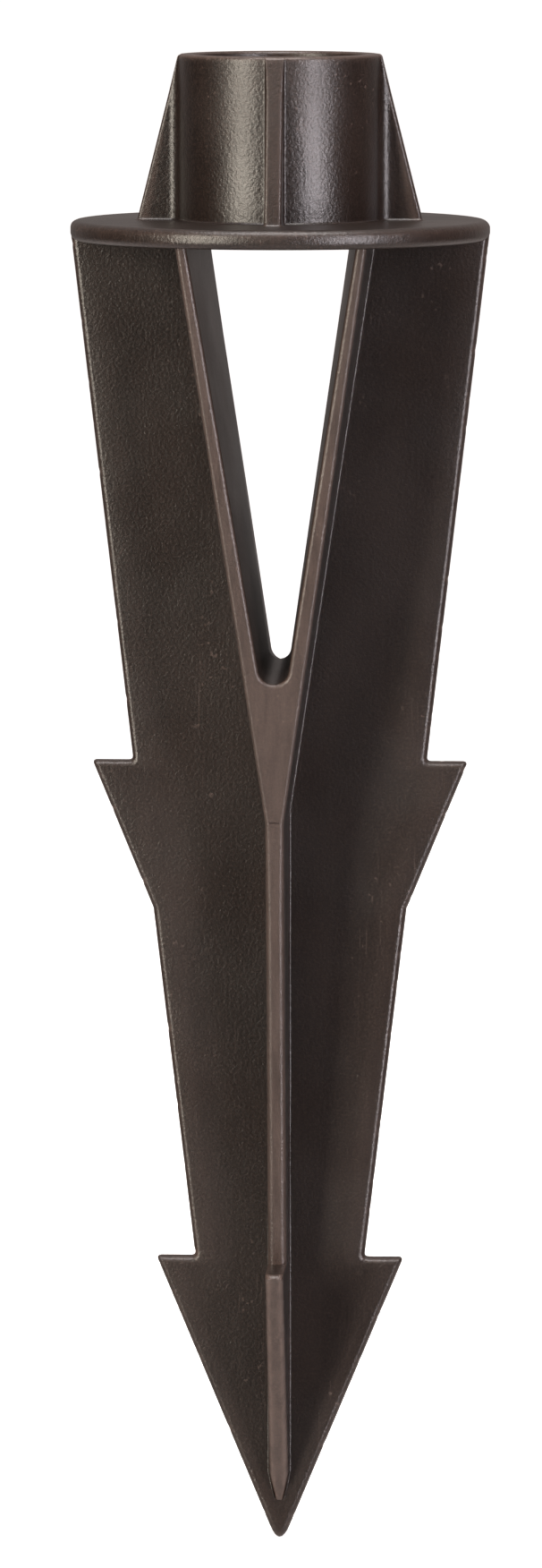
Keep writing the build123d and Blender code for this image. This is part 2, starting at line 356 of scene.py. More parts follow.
def scuff_group():
    """Node group for handling marks, as two masks: thin scratches along the stake and small rubbed specks."""
    group, start, end = new_group(
        "handling_scuffs",
        [("Vector", "NodeSocketVector", None), ("Low end", "NodeSocketFloat", TIP_Z)],
        [("Scratches", "NodeSocketFloat", None), ("Specks", "NodeSocketFloat", None)],
    )
    vector = start.outputs["Vector"]
    lines = noise(group, stretch(group, vector, (2600.0, 2600.0, 70.0)), 1.0, detail=2.0, rough=0.7)
    thin = ramp(group, lines, 0.62, 0.74)
    patches = noise(group, stretch(group, vector, (60.0, 60.0, 22.0)), 1.0, detail=2.0)
    area = ramp(group, patches, 0.46, 0.66)
    parts = node(group, "ShaderNodeSeparateXYZ")
    group.links.new(vector, parts.inputs[0])
    below = node(group, "ShaderNodeMapRange", interpolation_type="SMOOTHSTEP")
    group.links.new(parts.outputs["Z"], below.inputs[0])
    group.links.new(start.outputs["Low end"], below.inputs[1])
    below.inputs[2].default_value = 0.0
    below.inputs[3].default_value = 1.0
    below.inputs[4].default_value = 0.25
    scratches = math_node(group, "MULTIPLY", math_node(group, "MULTIPLY", thin, area), below.outputs[0])
    group.links.new(scratches, end.inputs["Scratches"])
    dots = ramp(group, noise(group, vector, 900.0, detail=1.0), 0.70, 0.76)
    group.links.new(math_node(group, "MULTIPLY", dots, area), end.inputs["Specks"])
    return group


def painted_front_sheen_group():
    """Node group for a painted sheen on the front faces of the fork and keels, which tilt down towards the
    floor's light, as a mask. It is 1 where a point's depth reaches the line of the keel's edge: waist depth
    plus depth per metre times the height above the barb. It is 0 above the flange's underside and below the
    barb."""
    group, start, end = new_group(
        "painted_front_sheen",
        [
            ("Vector", "NodeSocketVector", None), ("Waist depth", "NodeSocketFloat", 9.0 * MM),
            ("Depth per metre", "NodeSocketFloat", 0.117), ("Barb height", "NodeSocketFloat", -0.1773),
            ("Flange height", "NodeSocketFloat", -3.3 * MM),
        ],
        [("Mask", "NodeSocketFloat", None)],
    )
    parts = node(group, "ShaderNodeSeparateXYZ")
    group.links.new(start.outputs["Vector"], parts.inputs[0])
    above = math_node(group, "SUBTRACT", parts.outputs["Z"], start.outputs["Barb height"])
    per_metre, waist = start.outputs["Depth per metre"], start.outputs["Waist depth"]
    line = math_node(group, "MULTIPLY_ADD", above, per_metre, waist)
    short = math_node(group, "SUBTRACT", line, math_node(group, "ABSOLUTE", parts.outputs["Y"]))
    outer = ramp(group, short, 0.75 * MM, 0.15 * MM)
    under = math_node(group, "LESS_THAN", parts.outputs["Z"], start.outputs["Flange height"])
    over = math_node(group, "GREATER_THAN", parts.outputs["Z"], start.outputs["Barb height"])
    mask = math_node(group, "MULTIPLY", math_node(group, "MULTIPLY", outer, under), over)
    group.links.new(mask, end.inputs["Mask"])
    return group


def plastic_material(name, groups, rub_attribute=None):
    """The stake's brown plastic. Colour, grain and scuffs follow Object coordinates, and so does a painted
    sheen on the front faces of the fork and keels; rub_attribute names a piece's own mask of rubbed edges,
    which on the keels also holds the painted sheen of the barb's front face."""
    finish = bpy.context.scene.stake_plastic
    material = bpy.data.materials.new(name)
    material.use_nodes = True
    tree = material.node_tree
    shader = tree.nodes["Principled BSDF"]
    place = node(tree, "ShaderNodeTexCoord").outputs["Object"]
    grain = node(tree, "ShaderNodeGroup", node_tree=groups["grain"])
    scuffs = node(tree, "ShaderNodeGroup", node_tree=groups["scuffs"])
    tree.links.new(place, grain.inputs["Vector"])
    tree.links.new(place, scuffs.inputs["Vector"])
    grain.inputs["Pebble size"].default_value = finish.grain_size

    front_sheen = node(tree, "ShaderNodeGroup", node_tree=groups["front_sheen"])
    tree.links.new(place, front_sheen.inputs["Vector"])
    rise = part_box("soil_flange")[0].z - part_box("front_barb")[1].z
    waist = bpy.context.scene.stake_shape.keel_waist
    front_sheen.inputs["Waist depth"].default_value = waist
    front_sheen.inputs["Depth per metre"].default_value = (-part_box("fork_wall_left")[0].y - waist) / rise
    front_sheen.inputs["Barb height"].default_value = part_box("front_barb")[1].z
    front_sheen.inputs["Flange height"].default_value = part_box("soil_flange")[0].z

    cloudy = noise(tree, stretch(tree, place, (45.0, 45.0, 18.0)), 1.0, detail=4.0, rough=0.6)
    clouds = ramp(tree, cloudy, 0.3, 0.75)
    speckle = ramp(tree, noise(tree, place, 1.3 / finish.grain_size, detail=2.0, rough=0.7), 0.38, 0.72)
    share = math_node(tree, "MULTIPLY_ADD", speckle, 0.6, math_node(tree, "MULTIPLY", clouds, 0.4))
    colour = mix_colour(tree, share, (*finish.deep_colour, 1.0), (*finish.warm_colour, 1.0))
    marks = math_node(tree, "MULTIPLY", scuffs.outputs["Scratches"], SCRATCH_SHARE)
    marks = math_node(tree, "MULTIPLY_ADD", scuffs.outputs["Specks"], SPECK_SHARE, marks)
    # Painted sheen: the front faces of the fork and keels, tilted down towards the floor's light, are
    # lightened with the scuff colour, broken up by streaks. rubbed and marks carry it along with the rubbed
    # edges, scratches and specks.
    rubbed = math_node(tree, "MULTIPLY", front_sheen.outputs["Mask"], PAINTED_FRONT_SHEEN)
    if rub_attribute:
        edges = node(tree, "ShaderNodeAttribute", attribute_name=rub_attribute).outputs["Fac"]
        rubbed = math_node(tree, "MAXIMUM", rubbed, edges)
    streaks = noise(tree, stretch(tree, place, (900.0, 900.0, 60.0)), 1.0, detail=3.0, rough=0.65)
    broken = ramp(tree, streaks, 0.3, 0.65, 0.62, 1.0)
    marks = math_node(tree, "ADD", marks, math_node(tree, "MULTIPLY", rubbed, broken), clamp=True)
    colour = mix_colour(tree, marks, colour, (*finish.scuff_and_sheen_colour, 1.0))
    tree.links.new(colour, shader.inputs["Base Color"])

    gloss = math_node(tree, "MULTIPLY_ADD", grain.outputs["Gloss patches"], -0.07, finish.roughness + 0.035)
    gloss = math_node(tree, "MULTIPLY_ADD", marks, 0.10, gloss)
    tree.links.new(gloss, shader.inputs["Roughness"])

    bump = node(tree, "ShaderNodeBump")
    bump.inputs["Strength"].default_value = 1.0
    bump.inputs["Distance"].default_value = finish.grain_depth
    tree.links.new(grain.outputs["Height"], bump.inputs["Height"])
    tree.links.new(bump.outputs[0], shader.inputs["Normal"])
    return material


# ---- surfaces on a grid ----
def grid_faces(rows, columns, wrap_rows, wrap_columns, first=0):
    """Quads between neighbours of a grid of points, as an array of four indices each. A wrapped direction is
    joined from its last line back to its first."""
    i = np.arange(rows if wrap_rows else rows - 1)[:, None]
    j = np.arange(columns if wrap_columns else columns - 1)[None, :]
    below = (i + 1) % rows
    beside = (j + 1) % columns
    upper, lower = i * columns, below * columns
    quads = np.stack([upper + j, upper + beside, lower + beside, lower + j], -1)
    return quads.reshape(-1, 4) + first


def moulded_piece(name, points, rub, replaced, wrap_rows=False, wrap_columns=False, caps=()):
    """Makes a closed piece from a grid of points, with a rub value for each point: rubbed edges, and on the
    keels also a painted sheen. caps lists which of the grid's open ends, first_row, last_row, first_column or
    last_column, are closed by one flat face."""
    rows, columns = points.shape[:2]
    faces = grid_faces(rows, columns, wrap_rows, wrap_columns).tolist()
    index = np.arange(rows * columns).reshape(rows, columns)
    ends = {
        "first_row": index[0, ::-1], "last_row": index[-1],
        "first_column": index[:, 0], "last_column": index[::-1, -1],
    }
    faces += [ends[cap].tolist() for cap in caps]
    mesh = bpy.data.meshes.new(name)
    mesh.from_pydata(points.reshape(-1, 3).tolist(), [], faces)
    mask = mesh.attributes.new(RUB_AND_SHEEN, "FLOAT", "POINT")
    mask.data.foreach_set("value", np.broadcast_to(rub, (rows, columns)).astype(np.float32).ravel())
    work = bmesh.new()
    work.from_mesh(mesh)
    bmesh.ops.remove_doubles(work, verts=work.verts, dist=WELD)
    bmesh.ops.recalc_face_normals(work, faces=work.faces)
    work.to_mesh(mesh)
    work.free()
    mesh.shade_smooth()
    mesh.set_sharp_from_angle(angle=math.radians(SHARP_DEGREES))
    piece = bpy.data.objects.new(name, mesh)
    bpy.context.scene.collection.objects.link(piece)
    mesh.materials.append(bpy.data.materials[WORN_SKIN])
    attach(piece, BODY)
    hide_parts(*replaced)


def ripple(length, waves, seed):
    """A smooth random curve from -1 to 1: a few sine waves of length/wavelength turns with random phases."""
    random = np.random.default_rng(seed)
    phase = random.uniform(0, 2 * np.pi, len(waves))
    total = sum(np.sin(2 * np.pi * length / wave + turn) for wave, turn in zip(waves, phase))
    return total / len(waves)


def dent_curve(length, seed):
    """How deep an edge is dented along its length, 0 to 1: the highest crests of a short ripple."""
    waves = np.array([1.7, 2.6, 4.3, 7.9, 13.0]) * MM
    return np.clip(ripple(length, waves, seed) * 2.2 - 0.75, 0, 1)


# ---- blade ----
def rounded_outline(corners, radii, inset, spacing, corner_points):
    """Points along an open outline moved inwards by inset. Each side is moved along its own normal, and the
    sides meet at mitred corners. Each corner is then rounded by a curve that touches both sides: a quadratic
    curve with the corner as its middle control point. The number of points doesn't depend on the inset."""
    sides = np.diff(corners, axis=0)
    lengths = np.linalg.norm(sides, axis=1)
    along = sides / lengths[:, None]
    inward = np.stack([-along[:, 1], along[:, 0]], 1)
    before, after = inward[:-1], inward[1:]
    mitre = (before + after) / (1 + (before * after).sum(1))[:, None]
    shift = np.vstack([inward[:1], mitre, inward[-1:]])
    moved = corners + inset * shift
    turn = before[:, 0] * after[:, 1] - before[:, 1] * after[:, 0]
    angle = np.arccos(np.clip((before * after).sum(1), -1, 1))
    radius = np.where(turn > 0, np.maximum(radii - inset, 0.03 * MM), radii + inset)
    reach = radius * np.tan(angle / 2)
    share = np.linspace(0, 1, corner_points)[:, None]
    pieces = []
    start = moved[0]
    for k, middle in enumerate(moved[1:-1]):
        enter = middle - along[k] * reach[k]
        leave = middle + along[k + 1] * reach[k]
        count = max(2, int(lengths[k] / spacing))
        pieces.append(start + (enter - start) * np.linspace(0, 1, count, endpoint=False)[:, None])
        pieces.append((1 - share) ** 2 * enter + 2 * share * (1 - share) * middle + share**2 * leave)
        start = leave
    count = max(2, int(lengths[-1] / spacing))
    pieces.append(start + (moved[-1] - start) * np.linspace(0, 1, count + 1)[1:, None])
    return np.vstack(pieces)


def corner_places(corners, spacing, corner_points):
    """Column numbers of an outline's ends and of the middle of each corner, as rounded_outline makes them."""
    lengths = np.linalg.norm(np.diff(corners, axis=0), axis=1)
    counts = np.maximum(2, (lengths / spacing).astype(int))
    begins = np.cumsum(counts[:-1] + corner_points) - corner_points
    return np.concatenate([[0], begins + corner_points // 2, [begins[-1] + corner_points + counts[-1] - 1]])


def blade_surface(shape):
    """Points and rub mask of the blade: a thin plate whose front and rear faces run from a hidden spine,
    inside the fork and the keels, to a rounded edge. Columns follow the outline from the top left down to the
    point and up to the top right; rows go from the front spine across the front face, round the edge and
    back."""
    upper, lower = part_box("upper_barb_right"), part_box("lower_barb_right")
    half = (upper[1].y - upper[0].y) / 2
    fin_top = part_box("upper_fin_right")[1]
    lean = (fin_top.x - shape.upper_waist) / (fin_top.z - upper[1].z)
    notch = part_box("middle_fin_right")[1]
    slope = (lower[1].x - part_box("stake_tip")[1].x) / (lower[1].z - lower[0].z)
    point_z = lower[1].z - lower[1].x / slope
    right = np.array([
        (0, point_z), (lower[1].x, lower[1].z), (shape.lower_waist, lower[1].z), (notch.x, notch.z),
        (upper[1].x, upper[1].z), (shape.upper_waist, upper[1].z),
        (fin_top.x + lean * TUCK, fin_top.z + TUCK),
    ])
    corners = np.vstack([right[:0:-1] * (-1, 1), right])
    round_off = shape.corner_round
    radii = np.array([0.8 * MM, round_off, 1.5 * MM, 0.8 * MM, round_off])
    radii = np.concatenate([radii, [shape.tip_round], radii[::-1]])

    # the hidden spine, corner by corner: it closes from the fork's walls to the keel and ends above the point
    fork_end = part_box("fork_web")[0].z
    spine_z = np.array([
        -217.0 * MM, lower[1].z - 3.5 * MM, lower[1].z - 2.5 * MM, notch.z - 2.0 * MM,
        upper[1].z - 3.6 * MM, upper[1].z - 2.6 * MM, fin_top.z + TUCK,
    ])
    spine_x = 0.5 * MM + 0.14 * np.maximum(spine_z - fork_end, 0)
    spine_x[0] = 0
    spine_right = np.stack([spine_x, spine_z], 1)
    spine_corners = np.vstack([spine_right[:0:-1] * (-1, 1), spine_right])
    places = corner_places(corners, BLADE_STEP, CORNER_POINTS)
    column = np.arange(places[-1] + 1)
    spine = np.stack([np.interp(column, places, spine_corners[:, axis]) for axis in (0, 1)], 1)

    outer = rounded_outline(corners, radii, 0.0, BLADE_STEP, CORNER_POINTS)
    length = np.concatenate([[0], np.cumsum(np.linalg.norm(np.diff(outer, axis=0), axis=1))])
    dents = shape.dents * dent_curve(length, BLADE_DENT_SEED)
    wander = 0.10 * MM * ripple(length, np.array([31.0, 47.0, 90.0]) * MM, BLADE_RIDGE_SEED)

    # front half of the section: share of the way to the spine, inset from the outline, depth, rub
    turn = np.linspace(0, np.pi / 2, 7)
    edge = shape.edge_round
    across = np.concatenate([1 - np.linspace(0, 1, 12)[:-1] ** 1.3, np.zeros(13)])
    inset = np.concatenate([np.full(11, edge), edge * (1 - np.sin(turn)), np.zeros(6)])
    depth = np.concatenate([
        np.full(11, half), half - edge * (1 - np.cos(turn)), (half - edge) * np.linspace(0.8, 0, 6),
    ])
    rub = np.concatenate([np.zeros(10), [0.03], np.sin(turn) * 0.10 + 0.02, np.linspace(0.12, 0.08, 6)])

    rows = []
    for share, step_in in zip(across, inset):
        line = rounded_outline(corners, radii, step_in, BLADE_STEP, CORNER_POINTS)
        rows.append(line * (1 - share) + spine * share)
    rows = np.array(rows)
    tangent = np.gradient(outer, axis=0)
    outward = np.stack([tangent[:, 1], -tangent[:, 0]], 1)
    outward /= np.linalg.norm(outward, axis=1)[:, None]
    near_edge = np.clip(1 - inset / edge, 0, 1) * (across == 0)
    rows -= outward * (near_edge[:, None] * dents)[:, :, None]
    front = np.dstack([rows[:, :, 0], np.broadcast_to(-depth[:, None], rows.shape[:2]), rows[:, :, 1]])
    swell = np.sin(front[..., 0] / (5.3 * MM) + front[..., 2] / (21 * MM))
    swell *= np.sin(front[..., 2] / (9.1 * MM))
    front[..., 1] += 0.035 * MM * swell * (1 - near_edge)[:, None] * (across < 1)[:, None]
    rear = front[-2::-1] * (1, -1, 1)
    points = np.concatenate([front, rear])
    rub = np.concatenate([rub, rub[-2::-1]])

    # the parting ridge: a narrow raised line round the middle of the edge
    across_y = points[:, :, 1] - wander
    ridge = shape.parting_ridge * np.exp(-((across_y / RIDGE_WIDTH) ** 2))
    flat = np.abs(np.arange(len(points)) - (len(points) - 1) / 2) <= 5
    points[:, :, 0] += outward[:, 0] * ridge * flat[:, None]
    points[:, :, 2] += outward[:, 1] * ridge * flat[:, None]
    rub = rub[:, None] * np.ones(points.shape[1])
    dented = 0.2 * (dents / max(shape.dents, 1e-9)) * (rub > 0.05)
    return points, np.clip(rub + dented, 0, 1)


# ---- keels ----
def keel_surface(shape, facing):
    """Points and mask of one keel, facing -1 to the front or +1 to the rear: the mask holds its rubbed edges
    and a painted sheen on the barb's front face. Columns are its level section: a cove on the blade, a side
    that narrows with depth, a rounded edge and the front face. Rows go down the stake: the depth falls in a
    straight line, steps out on the barb's ledge and closes to the point.
    Where the keel runs out, it narrows towards the point and is held inside the blade's flat faces."""
    flange_low, web_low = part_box("soil_flange")[0].z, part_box("fork_web")[0].z
    barb_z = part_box("front_barb")[1].z
    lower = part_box("lower_barb_right")
    half_blade = lower[1].y
    slope = (lower[1].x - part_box("stake_tip")[1].x) / (lower[1].z - lower[0].z)
    top_depth = -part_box("fork_wall_left")[0].y
    point_z = barb_z - shape.keel_barb / slope

    # heights and depths, row by row
    shaft_z = np.linspace(web_low + 0.3 * MM, barb_z, 90)
    shaft = shape.keel_waist + (shaft_z - barb_z) / (flange_low - barb_z) * (top_depth - shape.keel_waist)
    turn = np.linspace(0, np.pi / 2, 7)
    lip = shape.keel_worn_round
    lip_z = barb_z - lip * (1 - np.cos(turn))
    lip_depth = shape.keel_barb - lip * (1 - np.sin(turn))
    barb_rows = np.linspace(barb_z - lip * 1.3, point_z + 1.0 * MM, 90)
    height = np.concatenate([shaft_z, np.full(3, barb_z), lip_z[:-1], barb_rows])
    ledge = np.linspace(shape.keel_waist, shape.keel_barb - lip, 5)[1:-1]
    barb_depth = (barb_rows - point_z) * slope
    depth = np.concatenate([shaft, ledge, lip_depth[:-1], barb_depth])

    # half of the section, from inside the blade to the middle of the front face; the edge's corner is a
    # quarter circle, which grows from the fork down
    arc = np.linspace(0, np.pi / 2, 9)[None, :]
    cove = KEEL_COVE
    cove_x = shape.keel_root_half + cove * (1 - np.sin(arc))
    cove_y = half_blade + cove * (1 - np.cos(arc))
    deep = depth[:, None]
    worn = np.clip((web_low - height[:, None]) / (16 * MM), 0, 1)
    corner = shape.keel_round + (shape.keel_worn_round - shape.keel_round) * worn
    taper = (shape.keel_root_half - shape.keel_edge_half) / (top_depth - half_blade - cove)
    side_deep = np.maximum(deep - corner - half_blade - cove, 0)
    side_y = half_blade + cove + np.linspace(0, 1, 7)[None, 1:-1] * side_deep
    side_x = shape.keel_root_half - taper * (side_y - half_blade - cove)
    face_half = shape.keel_root_half - taper * np.maximum(deep - half_blade - cove, 0)
    corner_x = face_half - corner * (1 - np.cos(arc))
    corner_y = deep - corner * (1 - np.sin(arc))
    face_x = (face_half - corner) * np.linspace(1, 0, 4)[None, 1:]
    face_y = deep + np.zeros((1, 3))
    one = np.ones_like(deep)
    root_x = (shape.keel_root_half + cove) * one
    root_y = 0.6 * half_blade * one
    x = np.hstack([root_x, cove_x * one, side_x, corner_x, face_x])
    y = np.hstack([root_y, cove_y * one, side_y, corner_y, face_y])
    y = np.minimum(y, deep)
    flat_half = np.maximum((height - point_z_of_flat(lower, slope, shape.edge_round)) * slope, 0.05 * MM)
    run_out = np.clip((height - point_z) / KEEL_RUN_OUT, 0.12, 1)
    x = np.minimum(x * run_out[:, None], flat_half[:, None])
    x = np.hstack([-x, x[:, -2::-1]])
    y = np.hstack([y, y[:, -2::-1]])
    z = height[:, None] * np.ones_like(x)

    columns = x.shape[1]
    middle = (columns - 1) / 2
    from_middle = np.abs(np.arange(columns) - middle)
    on_edge = np.exp(-(((from_middle - 7) / 3.0) ** 2))
    below_barb = z < barb_z
    face = np.clip((9 - from_middle) / 4, 0, 1)
    # Painted sheen on the barb's front face, which tilts down towards the floor's light; the rub along the
    # rounded edges is wear.
    rub = np.clip(0.25 * on_edge[None, :] + PAINTED_FRONT_SHEEN * below_barb * face, 0, 1)
    dents = shape.dents * dent_curve(height, KEEL_DENT_SEED)[:, None] * on_edge[None, :]
    y = y - dents * (y > half_blade + cove)
    points = np.dstack([x, facing * y, z])
    return points, rub


def point_z_of_flat(lower, slope, edge_round):
    """Height where the blade's flat faces come to a point, inside its rounded edges."""
    point_z = lower[1].z - lower[1].x / slope
    return point_z + edge_round * math.hypot(1, slope) / slope


# ---- soil flange ----
def flange_surface(shape):
    """Points and rub mask of the flange: a round-edged profile turned about the pole's axis. Columns are
    angles, drawn closer together at the two ends of the parting plane, where a thin ridge crosses the edge.
    The top sinks a little over the blade, and its outer edge is slightly uneven."""
    low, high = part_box("soil_flange")
    radius, edge = high.x, FLANGE_EDGE
    core = radius - edge
    turn = np.linspace(0, np.pi / 2, 10)
    flat = np.linspace(low.z + edge, high.z - edge, 5)[1:-1]
    r = np.concatenate([
        np.linspace(0, core, 14)[:-1], core + edge * np.sin(turn), np.full(3, radius),
        core + edge * np.cos(turn), np.linspace(core, 0, 28)[1:],
    ])
    z = np.concatenate([
        np.full(13, low.z), low.z + edge * (1 - np.cos(turn)), flat,
        high.z - edge * (1 - np.sin(turn)), np.full(27, high.z),
    ])
    share = np.arange(FLANGE_COLUMNS) / FLANGE_COLUMNS * 2 * np.pi
    theta = share - 0.4 * np.sin(2 * share)
    r, z, theta = r[:, None], z[:, None], theta[None, :]
    height = (z - low.z) / (high.z - low.z)
    on_edge = np.clip((r - core) / edge, 0, 1)
    waves = np.array([2.1, 3.4, 5.9, 11.0]) * MM
    seam_fade = 1 - np.cos(theta * 0.5) ** 80
    outwards = ripple(theta * radius, waves, FLANGE_OUT_SEED) * seam_fade
    upwards = ripple(theta * radius, waves * 1.3, FLANGE_UP_SEED) * seam_fade
    r = r + FLANGE_UNEVEN * outwards * on_edge * height
    z = z + FLANGE_UNEVEN * upwards * on_edge * height
    x, y = r * np.cos(theta), r * np.sin(theta)
    ridge = shape.parting_ridge * np.exp(-((y / RIDGE_WIDTH) ** 2)) * on_edge
    x = x + np.sign(x) * ridge
    over_blade = np.exp(-((y / (1.5 * MM)) ** 2)) * np.clip((np.abs(x) - 20 * MM) / (4 * MM), 0, 1)
    z = z - 0.06 * MM * over_blade * (height > 0.99) * (1 - on_edge)
    rub = on_edge * (0.02 + 0.08 * np.exp(-(((height - 0.75) / 0.2) ** 2)))
    return np.dstack([x, y, z + 0 * x]), rub + 0 * x


# ---- socket with its gussets ----
def socket_surface(shape):
    """Points and rub mask of the pole socket: a tube with four gussets. Each level section is one outline:
    round the tube, along a cove onto a gusset's side, round its corner and across its sloping outer face. A
    small offset of that outline, which grows the tube and gussets and shrinks the coves by the same amount,
    makes the cove at the foot and the rounded rim. Rows go up the outside, over the rim and down the bore."""
    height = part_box("pole_socket")[1].z
    foot_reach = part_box("socket_gusset_right")[1].x
    bore = BORE_RADIUS
    tube, half, foot, rim = shape.socket_radius, shape.gusset_half, shape.foot_cove, shape.rim_round

    # outside rows, from inside the flange to the top of the rim: height and outward offset
    turn = np.linspace(np.pi / 2, 0, 7)
    foot_z, foot_out = foot * (1 - np.sin(turn)), foot * (1 - np.cos(turn))
    rise = np.linspace(foot, height - rim, 46)[1:-1]
    over = np.linspace(0, np.pi / 2, 8)
    z = np.concatenate([[-SOCKET_TUCK], foot_z, rise, height - rim * (1 - np.sin(over))])
    out = np.concatenate([[foot], foot_out, np.zeros(len(rise)), -rim * (1 - np.cos(over))])
    z, out = z[:, None], out[:, None]
    slope_reach = tube + (foot_reach - tube) * np.clip(1 - z / height, 0, 1)
    corner = 0.05 * MM + 0.45 * MM * np.clip((slope_reach - tube) / (1.6 * MM), 0, 1)
    reach = slope_reach + out

    columns = []
    rubs = []
    for index, cove_size in enumerate((shape.side_cove, shape.front_cove) * 2):
        middle = index * np.pi / 2
        touch = math.asin((half + cove_size) / (tube + cove_size))
        next_size = (shape.front_cove, shape.side_cove)[index % 2]
        next_touch = math.asin((half + next_size) / (tube + next_size))
        centre_u = (tube + cove_size) * math.cos(touch)
        cove = cove_size - out
        end_u = reach - corner
        last = np.pi + np.arccos(np.clip((centre_u - end_u) / cove, 0, math.cos(touch)))
        swing = np.pi + touch + (last - np.pi - touch) * np.linspace(0, 1, 9)[None, :]
        cove_u = centre_u + cove * np.cos(swing)
        cove_v = half + cove_size + cove * np.sin(swing)
        end_v = cove_v[:, -1:]
        side_u = cove_u[:, -1:] + np.maximum(end_u - cove_u[:, -1:], 0) * np.linspace(0, 1, 8)[None, 1:]
        side_v = end_v + 0 * side_u
        arc = np.linspace(0, np.pi / 2, 6)[None, 1:]
        corner_u = end_u + corner * np.sin(arc)
        corner_v = end_v - corner * (1 - np.cos(arc))
        face_v = corner_v[:, -1:] * np.linspace(1, 0, 4)[None, 1:]
        face_u = reach + 0 * face_v
        u = np.hstack([cove_u, side_u, corner_u, face_u])
        v = np.hstack([cove_v, side_v, corner_v, face_v])
        u = np.hstack([u, u[:, -2::-1]])
        v = np.hstack([-v, v[:, -2::-1]])
        cosine, sine = math.cos(middle), math.sin(middle)
        columns.append(np.stack([u * cosine - v * sine, u * sine + v * cosine], -1))
        edge_rub = np.concatenate([np.zeros(13), [0.1, 0.2], np.full(6, 0.12), np.full(3, 0.05)])
        rubs.append(np.concatenate([edge_rub, edge_rub[-2::-1]]))
        stop = middle + np.pi / 2 - next_touch
        theta = np.linspace(middle + touch, stop, 40)[None, 1:-1]
        around = tube + out
        columns.append(np.stack([around * np.cos(theta), around * np.sin(theta)], -1))
        rubs.append(np.zeros(38))
    outside = np.concatenate(columns, axis=1)
    rub_row = np.concatenate(rubs)

    # inside rows, from the rim's flat top round its inner edge and down the bore
    theta = np.unwrap(np.arctan2(outside[8, :, 1], outside[8, :, 0]))[None, :]
    drop = np.linspace(height - rim, -SOCKET_TUCK, 16)[1:]
    inner_r = np.concatenate([[(tube + bore) / 2], bore + rim * (1 - np.sin(over)), np.full(15, bore)])
    inner_z = np.concatenate([[height], height - rim * (1 - np.cos(over)), drop])
    inside = np.stack([inner_r[:, None] * np.cos(theta), inner_r[:, None] * np.sin(theta)], -1)
    level = np.concatenate([z[:, 0], inner_z])[:, None]
    flat = np.concatenate([outside, inside])
    points = np.dstack([flat[..., 0], flat[..., 1], level + 0 * flat[..., 0]])
    rim_rub = np.exp(-(((level - height) / (0.5 * MM)) ** 2)) * 0.35
    outer_rows = (np.arange(len(points)) < len(z))[:, None]
    return points, np.clip(rim_rub + rub_row[None, :] * outer_rows, 0, 1)


# ---- studio ----
def aim(thing, target):
    """Turns a lamp so that it looks at a target point."""
    direction = Vector(target) - thing.location
    thing.rotation_euler = direction.to_track_quat("-Z", "Y").to_euler()


def soft_box(name, turn, rise, reach, size, power, colour):
    """A rectangular lamp at an angle round the pole and an angle above level, facing the stake's middle.
    turn 0 is straight in front and grows to the right."""
    lamp = bpy.data.lights.new(name, "AREA")
    lamp.shape = "RECTANGLE"
    lamp.size, lamp.size_y = size
    lamp.energy = power
    lamp.color = colour
    thing = bpy.data.objects.new(name, lamp)
    level = reach * math.cos(rise)
    centre = Vector((0, 0, (TIP_Z + RIM_Z) / 2))
    offset = Vector((level * math.sin(turn), -level * math.cos(turn), reach * math.sin(rise)))
    thing.location = centre + offset
    aim(thing, centre)
    thing.visible_camera = False
    bpy.context.scene.collection.objects.link(thing)


def studio_world():
    """Surroundings: white to the camera, and to the stake a soft glow. The glow is dim at eye level, bright
    underneath from the floor and above from the ceiling, and faint from behind the stake."""
    world = bpy.data.worlds.new("studio_surroundings")
    world.use_nodes = True
    tree = world.node_tree
    tree.nodes.clear()
    place = node(tree, "ShaderNodeTexCoord").outputs["Generated"]
    parts = node(tree, "ShaderNodeSeparateXYZ")
    tree.links.new(place, parts.inputs[0])
    below = ramp(tree, parts.outputs["Z"], -math.sin(math.radians(15)), -math.sin(math.radians(42)))
    above = ramp(tree, parts.outputs["Z"], math.sin(math.radians(12)), math.sin(math.radians(75)))
    behind = ramp(tree, parts.outputs["Y"], 0.25, 0.95)
    glow = math_node(tree, "MULTIPLY_ADD", below, 0.9, 0.01)
    glow = math_node(tree, "MULTIPLY_ADD", above, 0.50, glow)
    glow = math_node(tree, "MULTIPLY_ADD", behind, 0.30, glow)
    surroundings = node(tree, "ShaderNodeBackground")
    surroundings.inputs["Color"].default_value = (1.0, 0.89, 0.85, 1.0)
    tree.links.new(glow, surroundings.inputs["Strength"])
    backdrop = node(tree, "ShaderNodeBackground")
    backdrop.inputs["Color"].default_value = (1.0, 1.0, 1.0, 1.0)
    seen = node(tree, "ShaderNodeLightPath").outputs["Is Camera Ray"]
    chosen = node(tree, "ShaderNodeMixShader")
    end = node(tree, "ShaderNodeOutputWorld")
    tree.links.new(seen, chosen.inputs[0])
    tree.links.new(surroundings.outputs[0], chosen.inputs[1])
    tree.links.new(backdrop.outputs[0], chosen.inputs[2])
    tree.links.new(chosen.outputs[0], end.inputs["Surface"])
    bpy.context.scene.world = world


